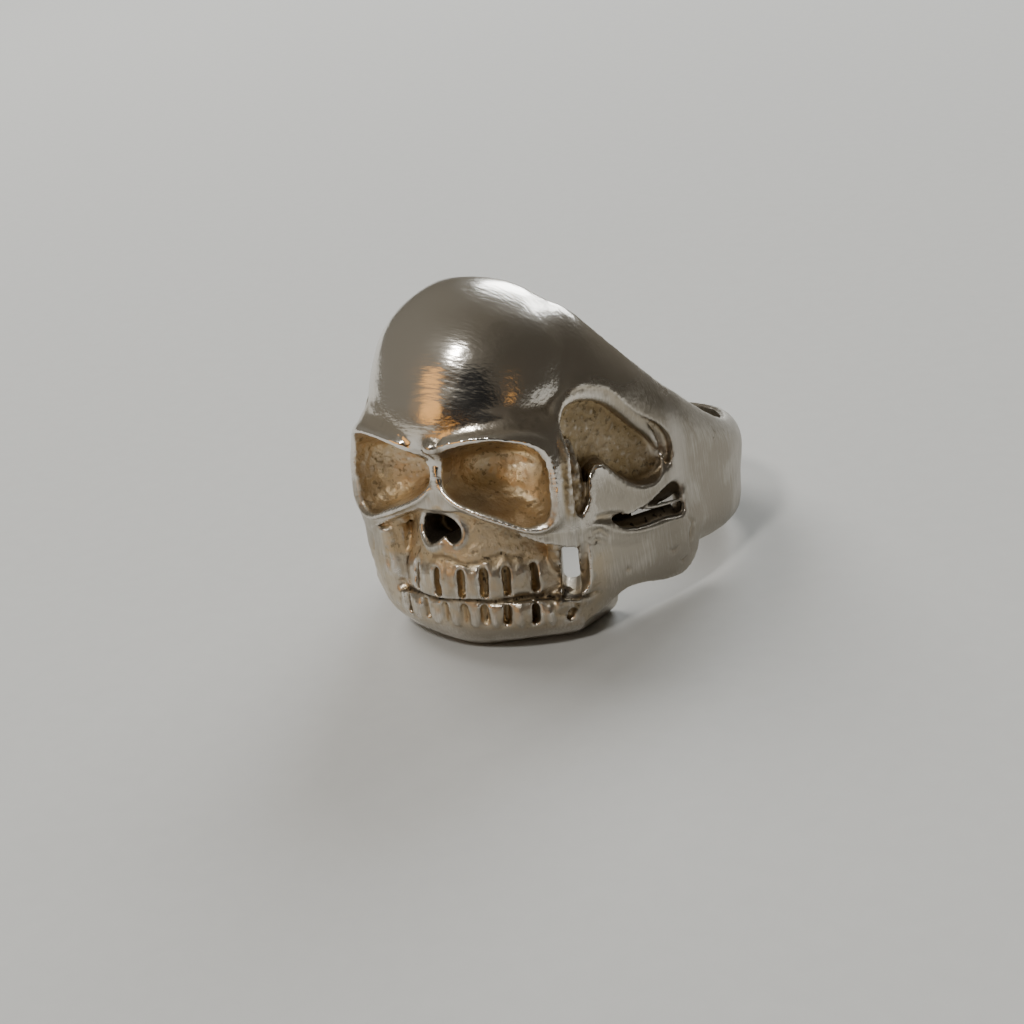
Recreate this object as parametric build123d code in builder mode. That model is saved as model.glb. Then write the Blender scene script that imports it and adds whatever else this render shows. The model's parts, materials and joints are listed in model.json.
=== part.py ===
"""A cast silver finger ring whose front is a skull with its lower jaw.

The ring is modelled upright, in its own frame: the finger passes along Z, the skull looks
towards -Y, and Z = 0 is half way up the back of the shank. Angles round the finger are
measured in degrees from the skull's nose (0) towards the skull's left, +X (90). At the end
the ring is tipped on to a flat surface, where it rests on its chin and on the back of the
shank. All lengths are millimetres. The whole casting is one piece.
"""

import os
from math import atan2, cos, degrees, radians, sin

from build123d import *

# Finger hole and shank
finger_d = 20.6
shank_wall = 1.45
shank_high = 6.55
rim_flat = 0.45

# Skull: its height from chin to crown, half the width of its cheeks, how far the bridge of
# the nose stands out from the finger hole, and half the width of its cranium
skull_high = 23.35
face_half = 7.8
face_deep = 6.6
dome_half = 7.1

# The face's flat back lies inside the finger hole, at this share of the hole's radius, and its
# front is drawn through points at this share of its half width.
face_back = 0.743
face_near = 0.6

# Raised edge round the eye sockets, and the nose opening
rim_raise = 0.3
rim_wide = 0.6
nose_deep = 3.6
nose_shift = -0.45

# Teeth: the gap at the bite, its ends as shares of the dental arch's radius, and the spaces
# between them
bite_gap = 0.22
bite_deep = 0.65
bite_reach = 1.5
bite_back = 0.2
space_wide = 0.5
space_deep = 0.75
upper_space = 1.9
lower_space = 1.4

# Openings in the side of the head
slit_backing = 0.8
cheek_gap_wide = 1.15
cheek_gap_angle = 28.2

bore_r = finger_d / 2
shank_r = bore_r + shank_wall
inside_r = 0.9 * bore_r
rim_r = bore_r + rim_flat
clear_r = shank_r + 2 * face_deep
shank_low = -shank_high / 2

# Heights below are shares of skull_high from the middle of the shank. Radii are shares of
# face_deep beyond the shank's outside, and depths are shares of face_deep beyond the finger
# hole. Widths are shares of face_half.

# Side wall: angle, radius low down, radius at the cheek arch, radius at the shoulder, top.
wall_table = [
    (23, 0.28, 0.432, 0.129, 0.597),
    (30, 0.371, 0.538, 0.295, 0.576),
    (37, 0.28, 0.386, 0.25, 0.529),
    (44, 0.174, 0.25, 0.174, 0.471),
    (52, 0.083, 0.129, 0.098, 0.411),
    (60, 0.03, 0.061, 0.053, 0.351),
    (70, -0.03, 0.015, 0.023, 0.293),
    (80, -0.068, -0.023, 0.0, 0.242),
    (92, -0.083, -0.038, -0.008, 0.193),
    (112, -0.083, -0.038, -0.008, 0.154),
    (145, -0.061, -0.015, 0.0, 0.14),
    (180, -0.053, -0.008, 0.0, 0.14),
]
arch_share = 0.45
shoulder_share = 0.78

# Cranium: radius as a share of dome_half about its own upright axis, height.
dome_table = [
    (0.338, 0.642),
    (0.62, 0.595),
    (0.845, 0.522),
    (0.965, 0.437),
    (1.0, 0.368),
    (0.979, 0.308),
    (0.901, 0.257),
]
dome_top = 0.657
dome_depth = 0.015

# Face mask, upper jaw and lower jaw: height, half width, depth at the sides, depth at six
# tenths of the half width, depth at the middle.
mask_table = [
    (0.377, 0.808, 0.288, 0.848, 1.03),
    (0.296, 0.949, 0.424, 0.894, 1.045),
    (0.257, 1.0, 0.515, 0.879, 1.0),
    (0.206, 1.019, 0.561, 0.848, 0.924),
    (0.146, 1.026, 0.576, 0.833, 0.924),
    (0.094, 1.032, 0.591, 0.818, 0.97),
    (0.039, 1.026, 0.576, 0.803, 0.955),
    (-0.06, 1.0, 0.545, 0.788, 0.909),
]
upper_jaw_table = [
    (0.086, 0.718, 0.106, 0.591, 0.879),
    (0.0, 0.731, 0.182, 0.621, 0.879),
    (-0.069, 0.756, 0.197, 0.667, 0.909),
    (-0.128, 0.782, 0.227, 0.712, 0.939),
    (-0.184, 0.782, 0.227, 0.697, 0.924),
]
lower_jaw_table = [
    (-0.176, 0.885, 0.348, 0.697, 0.864),
    (-0.231, 0.949, 0.333, 0.697, 0.848),
    (-0.278, 0.91, 0.273, 0.621, 0.773),
    (-0.313, 0.756, 0.136, 0.455, 0.667),
    (-0.343, 0.564, 0.076, 0.288, 0.47),
]
cheek_in = (0.19, 0.069)
cheek_out = (1.08, -0.051)

# Eye socket's edge on the skull's left: width, height.
socket_rim = [
    (0.064, 0.15),
    (0.071, 0.193),
    (0.141, 0.231),
    (0.333, 0.261),
    (0.603, 0.274),
    (0.821, 0.255),
    (0.923, 0.188),
    (0.929, 0.107),
    (0.897, 0.049),
    (0.769, 0.032),
    (0.551, 0.056),
    (0.333, 0.084),
    (0.141, 0.116),
]
# Eye socket's pit: depth, size against the edge, shift sideways.
socket_pit = [
    (1.318, 1.05, 0.0),
    (0.864, 1.0, 0.0),
    (0.652, 0.92, -0.013),
    (0.485, 0.72, -0.038),
    (0.409, 0.4, -0.051),
]
socket_middle = (0.513, 0.146)

# Nose opening: width, height.
nose_outline = [
    (0.0, 0.051),
    (0.11, 0.045),
    (0.187, 0.013),
    (0.172, -0.014),
    (0.111, -0.022),
    (0.055, -0.003),
    (-0.01, -0.018),
    (-0.08, -0.03),
    (-0.15, -0.018),
    (-0.19, 0.012),
    (-0.12, 0.047),
]
# Temple hollow, slit under the cheek arch and plate of the jaw: angle, height.
temple_outline = [
    (28.0, 0.343),
    (32.2, 0.373),
    (37.0, 0.368),
    (42.2, 0.343),
    (48.6, 0.278),
    (55.7, 0.231),
    (59.8, 0.171),
    (58.5, 0.111),
    (54.0, 0.081),
    (49.0, 0.081),
    (44.1, 0.107),
    (40.3, 0.141),
    (36.8, 0.167),
    (33.8, 0.15),
    (33.0, 0.094),
    (31.4, 0.056),
    (29.7, 0.043),
    (28.3, 0.064),
    (27.7, 0.12),
    (27.4, 0.214),
]
slit_outline = [
    (37.5, 0.019),
    (42.0, 0.011),
    (48.0, 0.019),
    (54.0, 0.036),
    (61.8, 0.056),
    (64.5, 0.013),
    (64.5, -0.026),
    (58.0, -0.028),
    (50.0, -0.032),
    (44.0, -0.026),
    (39.5, -0.004),
]
plate_outline = [
    (24.0, -0.171),
    (29.6, -0.154),
    (30.3, -0.086),
    (30.4, -0.026),
    (32.5, 0.015),
    (36.0, 0.011),
    (40.0, -0.015),
    (46.0, -0.036),
    (54.0, -0.034),
    (61.0, -0.032),
    (67.0, -0.039),
    (70.5, -0.086),
    (70.0, -0.146),
    (66.0, -0.197),
    (60.0, -0.21),
    (50.0, -0.197),
    (43.0, -0.201),
    (38.0, -0.227),
    (33.0, -0.253),
    (28.0, -0.266),
    (24.0, -0.266),
]
# Floor of the temple hollow and face of the jaw plate: angle, radius.
temple_floor = [
    (15, 0.432),
    (24, 0.402),
    (29, 0.28),
    (34, 0.144),
    (42, 0.023),
    (50, -0.068),
    (60, -0.098),
    (80, -0.098),
]
plate_face = [
    (15, 0.629),
    (25, 0.644),
    (30, 0.598),
    (35, 0.455),
    (41, 0.311),
    (47, 0.212),
    (53, 0.144),
    (61, 0.083),
    (67, 0.045),
    (72, 0.0),
    (80, -0.114),
]
# How the jaw plate draws in towards its lower edge: height, size.
plate_taper = [
    (0.064, 1.0),
    (-0.043, 1.0),
    (-0.15, 0.99),
    (-0.214, 0.95),
    (-0.321, 0.84),
]
# The angle from which each side outline is seen, and the radius where it lies.
temple_view = (43, 0.28)
slit_view = (52, 0.144)
plate_view = (48, 0.19)
slit_through = 49

cheek_gap_low = -0.184
cheek_gap_top = -0.039

# Dental arch: its middle's depth, its radius as a width, and the bite's height. Then the
# spaces between the teeth, by their angle round the arch.
arch_depth = 0.091
arch_width = 0.7115
bite_height = -0.18
upper_spaces = [-66, -47, -28, -7, 11, 26, 41, 60]
lower_spaces = [-60, -42, -24, -6, 10, 25, 40, 56, 73]

# Where the chin and the heel of the shank touch the surface below: depth, height.
chin_touch = (0.409, -0.332)
heel_in = 0.35


def height(share):
    """A height above the middle of the shank."""
    return share * skull_high


def across(share):
    """A distance sideways from the middle of the face."""
    return share * face_half


def forward(share):
    """The y of a point this deep in front of the finger hole."""
    return -(bore_r + share * face_deep)


def radius(share):
    """A radius about the finger's axis."""
    return shank_r + share * face_deep


def around(angle, distance):
    """The point in plan at an angle from the nose and a distance from the finger's axis."""
    turn = radians(angle)
    return (distance * sin(turn), -distance * cos(turn))


def radial_plane(angle):
    """The upright plane that holds the finger's axis, its x pointing out at the angle."""
    out_x, out_y = around(angle, 1.0)
    return Plane(origin=(0, 0, 0), x_dir=(out_x, out_y, 0), z_dir=(out_y, -out_x, 0))


def facing_plane(angle, distance, centre_y=0.0, level=0.0):
    """An upright plane that faces out at an angle, its x pointing away from the nose."""
    out_x, out_y = around(angle, 1.0)
    origin = (out_x * distance, centre_y + out_y * distance, level)
    return Plane(origin=origin, x_dir=(-out_y, out_x, 0), z_dir=(out_x, out_y, 0))


def face_lines(half, side, near, front):
    """Draw a level section of the face, a round front closed by a straight back."""
    back = -face_back * bore_r
    near_x = face_near * half
    Spline((-half, side), (-near_x, near), (0, front), (near_x, near), (half, side))
    Polyline((half, side), (half, back), (-half, back), (-half, side))


def plan_lines(points):
    """Draw an outline in plan through the points, closed at the finger's axis."""
    Spline(*points)
    Polyline(points[-1], (0, 0), points[0])


def side_lines(table, view):
    """Draw a closed outline of angles and heights as it looks from the side."""
    seen_from, seat = view
    Spline(
        *[(radius(seat) * sin(radians(angle - seen_from)), height(share)) for angle, share in table],
        periodic=True,
    )


def socket_points(size_x, size_z, shift):
    """The eye socket's edge, sized about its middle and shifted sideways."""
    mid_x, mid_z = socket_middle
    return [
        (across(mid_x + shift + size_x * (x - mid_x)), height(mid_z + size_z * (z - mid_z)))
        for x, z in socket_rim
    ]


right_rows = [(360 - row[0], *row[1:]) for row in reversed(wall_table[:-1])]

with BuildPart() as side_wall:
    for angle, low_share, arch_r, shoulder_r, top in wall_table + right_rows:
        top_z = height(top)
        low_r = radius(low_share)
        arch_z = shank_low + arch_share * (top_z - shank_low)
        shoulder_z = shank_low + shoulder_share * (top_z - shank_low)
        foot = (low_r - rim_flat, shank_low)
        with BuildSketch(radial_plane(angle)):
            with BuildLine():
                Polyline((rim_r, top_z), (inside_r, top_z), (inside_r, shank_low), foot)
                Spline(
                    foot,
                    (low_r, shank_low + rim_flat),
                    (radius(arch_r), arch_z),
                    (radius(shoulder_r), shoulder_z),
                    (rim_r, top_z),
                )
            make_face()
    loft()

with BuildPart() as cranium:
    dome_y = forward(dome_depth)
    dome_points = [(share * dome_half, height(level)) for share, level in dome_table]
    crown = (0, height(dome_top))
    with BuildSketch(Plane.XZ.offset(-dome_y)):
        with BuildLine():
            Spline(crown, *dome_points, tangents=((1, 0), (-0.5, -1)))
            Polyline(dome_points[-1], (0, dome_points[-1][1]), crown)
        make_face()
    revolve(axis=Axis((0, dome_y, 0), (0, 0, 1)))

with BuildPart() as mask:
    for level, half, side, near, front in mask_table:
        with BuildSketch(Plane.XY.offset(height(level))):
            with BuildLine():
                face_lines(across(half), forward(side), forward(near), forward(front))
            make_face()
    loft()
    cheek_inner = (across(cheek_in[0]), height(cheek_in[1]))
    cheek_outer = (across(cheek_out[0]), height(cheek_out[1]))
    cut_low = height(2 * mask_table[-1][0])
    with BuildSketch(Plane.XZ):
        with BuildLine():
            Polyline((0, cheek_inner[1]), cheek_inner, cheek_outer)
            Polyline(cheek_outer, (cheek_outer[0], cut_low), (0, cut_low), (0, cheek_inner[1]))
        make_face()
        mirror(about=Plane.YZ)
    extrude(amount=clear_r, mode=Mode.SUBTRACT)

with BuildPart() as socket_edges:
    edge_size = 1 + 2 * rim_wide / face_half
    for level, half, side, near, front in mask_table:
        with BuildSketch(Plane.XY.offset(height(level))):
            with BuildLine():
                face_lines(
                    across(half) + rim_raise / 2,
                    forward(side) - rim_raise,
                    forward(near) - rim_raise,
                    forward(front) - rim_raise,
                )
            make_face()
    loft()
    with BuildSketch(Plane.XZ.offset(bore_r)):
        with BuildLine():
            Spline(*socket_points(edge_size, edge_size, 0), periodic=True)
        make_face()
        mirror(about=Plane.YZ)
    extrude(amount=clear_r, mode=Mode.INTERSECT)

with BuildPart() as upper_jaw:
    for level, half, side, near, front in upper_jaw_table:
        with BuildSketch(Plane.XY.offset(height(level))):
            with BuildLine():
                face_lines(across(half), forward(side), forward(near), forward(front))
            make_face()
    loft()

with BuildPart() as lower_jaw:
    for level, half, side, near, front in lower_jaw_table:
        with BuildSketch(Plane.XY.offset(height(level))):
            with BuildLine():
                face_lines(across(half), forward(side), forward(near), forward(front))
            make_face()
    loft()

with BuildPart() as jaw_plates:
    for level, size in plate_taper:
        with BuildSketch(Plane.XY.offset(height(level))):
            with BuildLine():
                plan_lines([around(angle, radius(share) * size) for angle, share in plate_face])
            make_face()
    loft()
    with BuildSketch(facing_plane(plate_view[0], 0)):
        with BuildLine():
            side_lines(plate_outline, plate_view)
        make_face()
    extrude(amount=clear_r, mode=Mode.INTERSECT)
    mirror(about=Plane.YZ)

with BuildPart() as socket_cuts:
    for depth, size, shift in socket_pit:
        with BuildSketch(Plane.XZ.offset(-forward(depth))):
            with BuildLine():
                Spline(*socket_points(size, size, shift), periodic=True)
            make_face()
    loft()
    mirror(about=Plane.YZ)

with BuildPart() as nose_cut:
    with BuildSketch(Plane.XZ.offset(face_deep + bore_r - nose_deep)):
        with BuildLine():
            Spline(*[(nose_shift + across(x), height(z)) for x, z in nose_outline], periodic=True)
        make_face()
    extrude(amount=clear_r)

with BuildPart() as temple_cuts:
    with BuildSketch(facing_plane(temple_view[0], 0)):
        with BuildLine():
            side_lines(temple_outline, temple_view)
        make_face()
    extrude(amount=clear_r)
    with BuildSketch(Plane.XY):
        with BuildLine():
            plan_lines([around(angle, radius(share)) for angle, share in temple_floor])
        make_face()
    extrude(amount=skull_high / 2, mode=Mode.SUBTRACT)
    mirror(about=Plane.YZ)

with BuildPart() as slit_cuts:
    with BuildSketch(facing_plane(slit_view[0], 0)):
        with BuildLine():
            side_lines(slit_outline, slit_view)
        make_face()
    extrude(amount=clear_r)
    with BuildSketch(Plane.XY.offset(shank_low)):
        with BuildLine():
            Polyline((0, 0), around(0, clear_r), around(slit_through, clear_r), (0, 0))
        make_face()
        Circle(bore_r + slit_backing, mode=Mode.INTERSECT)
    extrude(amount=shank_high, mode=Mode.SUBTRACT)
    mirror(about=Plane.YZ)

with BuildPart() as cheek_gap_cuts:
    gap_tall = height(cheek_gap_top - cheek_gap_low)
    gap_middle = height(cheek_gap_top + cheek_gap_low) / 2
    with BuildSketch(facing_plane(cheek_gap_angle, inside_r, 0, gap_middle)):
        RectangleRounded(cheek_gap_wide, gap_tall, cheek_gap_wide / 3)
    extrude(amount=clear_r)
    mirror(about=Plane.YZ)

with BuildPart() as tooth_cuts:
    arch_y = forward(arch_depth)
    arch_r = across(arch_width)
    bite_z = height(bite_height)
    space_floor = arch_r - space_deep
    upper_z = bite_z + bite_gap + upper_space / 2
    lower_z = bite_z - bite_gap - lower_space / 2
    for turn in upper_spaces:
        with BuildSketch(facing_plane(turn, space_floor, arch_y, upper_z)):
            SlotOverall(upper_space, space_wide, rotation=90)
        extrude(amount=arch_r / 2)
    for turn in lower_spaces:
        with BuildSketch(facing_plane(turn, space_floor, arch_y, lower_z)):
            SlotOverall(lower_space, space_wide, rotation=90)
        extrude(amount=arch_r / 2)

with BuildPart() as bite_cut:
    with BuildSketch(Plane((0, arch_y, bite_z - bite_gap / 2))):
        Circle(bite_reach * arch_r)
        Circle(arch_r - bite_deep, mode=Mode.SUBTRACT)
        with Locations((0, -(1 + bite_back) * arch_r)):
            Rectangle(4 * arch_r, 2 * arch_r, mode=Mode.INTERSECT)
    extrude(amount=bite_gap)

with BuildPart() as casting:
    for body in (side_wall, upper_jaw, lower_jaw, jaw_plates, mask, socket_edges, cranium):
        add(body.part)
    for cut in (socket_cuts, nose_cut, temple_cuts, slit_cuts, cheek_gap_cuts, tooth_cuts, bite_cut):
        add(cut.part, mode=Mode.SUBTRACT)
    Cylinder(bore_r, 2 * clear_r, mode=Mode.SUBTRACT)

# Tip the ring on to the surface through its chin and its heel, with both worn a little flat.
chin_y = forward(chin_touch[0])
chin_z = height(chin_touch[1])
tilt = atan2(shank_low - chin_z, shank_r - heel_in - chin_y)
surface = -chin_y * sin(tilt) + chin_z * cos(tilt)

with BuildPart() as skull_ring:
    add(Pos(0, 0, -surface) * Rot(-degrees(tilt), 0, 0) * casting.part)
    split(bisect_by=Plane.XY, keep=Keep.TOP)

middle = skull_ring.part.bounding_box().center()
ring = Pos(0, -middle.Y, 0) * skull_ring.part
ring.label = "skull_ring"
os.makedirs("parts", exist_ok=True)
export_step(ring, "parts/skull_ring.step")
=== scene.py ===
import json
import math

import bmesh
import bpy
import numpy as np
from bpy.props import FloatProperty, FloatVectorProperty, IntProperty, PointerProperty
from mathutils import Matrix, Vector
from mathutils.bvhtree import BVHTree


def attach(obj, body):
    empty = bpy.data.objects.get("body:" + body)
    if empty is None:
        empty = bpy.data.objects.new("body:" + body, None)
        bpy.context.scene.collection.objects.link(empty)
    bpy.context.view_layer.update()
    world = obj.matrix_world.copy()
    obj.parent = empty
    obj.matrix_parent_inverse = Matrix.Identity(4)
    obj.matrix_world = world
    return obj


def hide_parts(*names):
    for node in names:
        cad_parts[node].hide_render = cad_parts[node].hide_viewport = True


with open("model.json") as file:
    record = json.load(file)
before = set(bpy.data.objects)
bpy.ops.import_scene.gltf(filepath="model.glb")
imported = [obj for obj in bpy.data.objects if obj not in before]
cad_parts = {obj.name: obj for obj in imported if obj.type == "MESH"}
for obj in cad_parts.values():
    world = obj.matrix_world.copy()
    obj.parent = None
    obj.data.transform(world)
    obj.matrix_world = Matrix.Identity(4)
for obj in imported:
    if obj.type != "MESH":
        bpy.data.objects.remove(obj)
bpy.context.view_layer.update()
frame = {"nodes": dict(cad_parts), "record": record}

bl_info = {
    "name": "Skull ring builder",
    "version": (1, 0, 0),
    "blender": (4, 5, 0),
    "location": "View3D > Sidebar > Skull ring",
    "description": "Models a worn cast silver skull ring on its solid core",
    "category": "Object",
}

NODE = "skull_ring"
CASTING = "ring_casting"
MM = 0.001

# The ring's own frame, in millimetres: the finger passes along Z, the skull looks towards -Y
# and angles are measured in degrees from its nose towards +X. TO_ROW lays it in the frame.
HOLE = frame["record"]["mounts"][0]
LEAN = math.atan2(HOLE["axis"][1], HOLE["axis"][2])
TO_ROW = (
    Matrix.Translation(Vector(HOLE["pos_m"]))
    @ Matrix.Rotation(-LEAN, 4, "X")
    @ Matrix.Scale(MM, 4)
)
TO_RING = TO_ROW.inverted()

# Middle of the dental arch in plan, and how far outside the ring the feeler rays start.
ARCH_Y = -10.9
FAR = 40.0

# Eye socket's edge on the +X side: x, z.
SOCKET_EDGE = [
    (0.5, 3.5), (0.55, 4.5), (1.1, 5.4), (2.6, 6.1), (4.7, 6.4), (6.4, 5.95), (7.2, 4.4), (7.25, 2.5),
    (7, 1.15), (6, 0.75), (4.3, 1.3), (2.6, 1.95), (1.1, 2.7),
]
# Crest of the thin edge round the socket: x, z, half thickness.
SOCKET_CREST = [
    (0.1, 4.4, 0.12), (0.1, 5.05, 0.15), (0.75, 5.8, 0.17), (1.75, 6.3, 0.17), (3.2, 6.58, 0.17),
    (4.7, 6.66, 0.17), (6.3, 6.25, 0.17), (7.15, 5.35, 0.16), (7.5, 4, 0.16), (7.55, 2.5, 0.16),
    (7.35, 1.1, 0.17), (6.7, 0.55, 0.18), (5.8, 0.5, 0.18), (4.3, 1.02, 0.18), (2.6, 1.67, 0.18),
    (1.2, 2.35, 0.17), (0.5, 2.9, 0.14), (0.2, 3.6, 0.1),
]
# Nose opening's edge: x, z.
NOSE_EDGE = [
    (-0.45, 1.19), (0.41, 1.05), (1.01, 0.3), (0.89, -0.33), (0.42, -0.51), (-0.02, -0.07), (-0.53, -0.42),
    (-1.07, -0.7), (-1.62, -0.42), (-1.93, 0.28), (-1.39, 1.1),
]
NOSE_MIDDLE = (-0.45, 0.25)
# Cheek bar's lower edge, from the nose outwards: x, z.
CHEEK_LINE = [(1.48, 1.61), (8.42, -1.19)]
# Temple hollow's edge: angle, z.
TEMPLE_EDGE = [
    (28, 8), (32.2, 8.7), (37, 8.6), (42.2, 8), (48.6, 6.5), (55.7, 5.4), (59.8, 4), (58.5, 2.6),
    (54, 1.9), (49, 1.9), (44.1, 2.5), (40.3, 3.3), (36.8, 3.9), (33.8, 3.5), (33, 2.2), (31.4, 1.3),
    (29.7, 1), (28.3, 1.5), (27.7, 2.8), (27.4, 5),
]
# Length of a degree round the side, for outlines in angles and heights.
MM_PER_DEGREE = 0.24
# Slit above the jaw plate: angle, z.
SLIT_EDGE = [
    (36.5, 0.6), (42, 0.6), (48, 0.9), (56, 1.2), (65.5, 1.9), (67.5, 1), (66.5, -1.3), (58, -1.3),
    (50, -1.35), (44, -1.2), (38.5, -0.5),
]
# Outer radius of the side at the slit, by angle.
SIDE_RADIUS = [
    (36, 14.2), (40, 13.9), (44, 13.4), (48, 13), (52, 12.65), (56, 12.35), (60, 12.15), (68, 11.9),
]

# How far the sockets' crest is sunk. Edge round the nose opening: distance outside it, half
# thickness, how far it is sunk, points for each of the outline's.
CREST_SUNK = 0.02
NOSE_RIM = (0.32, 0.26, 0.08, 2)
# Raised bars on the face: x, z, half thickness, how far they are sunk.
BROW = [
    (1.9, 7.1, 0.05, 0.15), (2.9, 7.5, 0.45, 0.4), (4, 7.8, 0.6, 0.42), (4.95, 7.75, 0.6, 0.42),
    (5.75, 7.35, 0.5, 0.4), (6.3, 6.7, 0.2, 0.2),
]
NASAL_RIDGE = [
    (0.08, 5.05, 0.16, 0.02), (0.08, 4.4, 0.2, 0), (0.06, 3.6, 0.24, 0.02), (0, 2.9, 0.36, 0.08),
    (0, 2.45, 0.42, 0.12), (0, 2.15, 0.2, 0.2),
]
NOSE_BRIDGE = [
    (0.1, 2.35, 0.25, 0.2), (1.2, 2.1, 0.28, 0.15), (2.3, 1.75, 0.2, 0.12), (3.4, 1.35, 0.12, 0.1),
]
# Boss between the brows: x, z, half size, and the way that it faces.
BOSS = (0.75, 5.95, 0.72)
BOSS_FACING = (0, -1, 0.2)
# How far the brow's foot stands forward, heights where that is full and where it ends, and the
# power by which it fades between them.
BROW_FORWARD = 0.95
BROW_TOP = (6.1, 9.8)
BROW_SWEEP = 1.3

# Front of the block for teeth: inset, and how far it is drawn out.
BLOCK_INSET = 0.35
BLOCK_DRAW = 0.18
# Spaces between the teeth: angle round the dental arch.
UPPER_SPACES = [-47, -28, -7, 11, 26, 41, 60]
LOWER_SPACES = [-42, -24, -6, 10, 25, 40, 56, 73]
# Rows of teeth: their spaces, height of the middle, half height, how far they rise besides.
TOOTH_ROWS = [(UPPER_SPACES, -2.95, 1.15, 0), (LOWER_SPACES, -5.22, 1, 0.04)]
# A tooth: radius of the arch, half of the space beside it, half depth, uneven part of its height
# and the turn of that from tooth to tooth.
TOOTH = (5.1, 0.2, 0.45, 0.06, 2.4)
# Dirt in the spaces: height of its middle, half height, angles. It fades over SPACE_END.
DIRTY_SPACES = [(-3.03, 0.95, UPPER_SPACES[1:]), (-5.12, 0.75, LOWER_SPACES)]
SPACE_END = 0.3

# Raised edge round each upper space. Its top: height, uneven part and the turn of that. Its loop:
# half width, half height, drop of its middle, radius of the arch. Its sweep: first angle, whole
# angle, steps. Its half thickness at the ends and between, how far it stands out, and how far
# aside it feels for the tooth.
GUM_TOP = (-1.85, 0.12, 1.9)
GUM_LOOP = (0.4, 0.85, 0.75, 5.4)
GUM_SWEEP = (-35, 250, 8)
GUM_HALF = (0.05, 0.12)
GUM_PROUD = 0.02
GUM_ASIDE = 5

# Line of the bite: height, wave, waves in a full turn, half thickness, first and last angle,
# degrees between its points.
BITE_Z = -4.2
BITE_WAVE = 0.06
BITE_WAVES = 9
BITE_HALF = 0.16
BITE_START = -50
BITE_END = 82
BITE_STEP = 6
# The bite's painted shade lies outside this radius of the arch.
BITE_RADIUS = 4.6
# Lumps of worn back teeth on the skull's left: arch angle, z, reach, half size. They are
# LUMP_TALL times as tall as wide.
MOLAR_LUMPS = [(66, -4.75, 6.35, 0.5), (73, -5.2, 6.3, 0.62), (74, -4.5, 6.2, 0.4), (81, -4.5, 6, 0.5)]
LUMP_TALL = 1.3
# Smooth filling behind the teeth on the skull's right: x, y, z, half thickness.
RIGHT_CHEEK = [
    [(-7.4, -13.6, -0.9, 0.55), (-7.05, -13.1, -2.9, 0.7), (-6.8, -12.9, -4.5, 0.7), (-6.1, -13, -6, 0.6)],
    [(-6.8, -14, -0.2, 0.65), (-6.4, -13.8, -2.8, 0.8), (-6.05, -13.6, -4.6, 0.75),
     (-5.3, -13.5, -6.1, 0.6)],
    [(-6, -14.4, 0.1, 0.65), (-5.7, -14.3, -2.4, 0.8), (-5.5, -14.05, -4.5, 0.7), (-4.8, -13.9, -6.1, 0.5)],
    [(-5.2, -14.8, -0.2, 0.6), (-5.05, -14.6, -2.2, 0.65), (-4.9, -14.5, -3.6, 0.5)],
    [(-4.6, -14.3, 0, 0.6), (-4.5, -14.2, -2.2, 0.65), (-4.45, -14.15, -3.6, 0.5)],
    [(-6.3, -14.2, -0.1, 0.5), (-4.9, -14.5, 0.3, 0.6), (-3.7, -14.8, 0.6, 0.45)],
]
# Furrows between the last teeth on the skull's right: arch angle, z, half thickness.
RIGHT_SPACES = [
    [(-59, -0.8, 0.08), (-60, -1.3, 0.18), (-61, -1.9, 0.08)],
    [(-51, -1.6, 0.08), (-51.5, -2.3, 0.2), (-52, -3.1, 0.1)],
    [(-51, -4.4, 0.09), (-52, -5.2, 0.11), (-53, -5.9, 0.06)],
]
# Radius outside which the skull's right is smoothed.
RIGHT_RADIUS = 12.4

# Round furrow on the last lower tooth: arch angle, z, radius, half thickness, radius of the arch,
# degrees between its points, number of points.
MOLAR_RING = (69, -4.95, 0.5, 0.09, 6, 30, 11)

# Furrow along the gum: arch angle, z, half thickness.
GUM_FURROW = [
    (-12, -1.45, 0.05), (-3, -1.35, 0.1), (5, -1.5, 0.12), (14, -1.8, 0.12), (24, -1.7, 0.12),
    (31, -1.45, 0.1), (40, -1.3, 0.12), (48, -1.6, 0.1), (56, -1.5, 0.05),
]

# Ledge inside the temple hollow: angle, z, radius, half thickness.
TEMPLE_LEDGE = [
    (27.4, 5.9, 15.3, 0.2), (26.9, 6.9, 15, 0.4), (27.6, 7.8, 14.4, 0.5), (30, 8.2, 13.75, 0.55),
    (33.5, 8.25, 13.3, 0.55), (37.5, 8, 12.95, 0.5), (41.5, 7.45, 12.55, 0.45), (45, 6.8, 12.25, 0.45),
    (48.5, 6.1, 12, 0.48), (51.5, 5.5, 11.85, 0.45), (54, 5.1, 11.75, 0.4), (57, 4.4, 11.6, 0.34),
    (59, 3.6, 11.45, 0.16),
]
# Tongue below the ledge, in the front of the hollow: angle, z, radius, half thickness.
TEMPLE_TONGUE = [
    (29.2, 5.6, 13.9, 0.2), (29.8, 4.4, 14.15, 0.5), (30.2, 3, 14.25, 0.62), (30.2, 1.9, 14.4, 0.6),
    (30.2, 1.2, 14.4, 0.4),
]
# Lower edge of the temple hollow: angle, z, half thickness. It lies SILL_DROP lower and is sunk.
TEMPLE_SILL = [
    (33.2, 3, 0.1), (34.2, 3.75, 0.16), (36, 4, 0.2), (37.8, 3.75, 0.17), (40.5, 3.05, 0.14),
    (44.3, 2.3, 0.14), (49, 1.75, 0.16), (54.5, 1.75, 0.18), (59, 2.45, 0.16), (61, 3.7, 0.12),
]
SILL_DROP = 0.2
SILL_SUNK = 0.05
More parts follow.
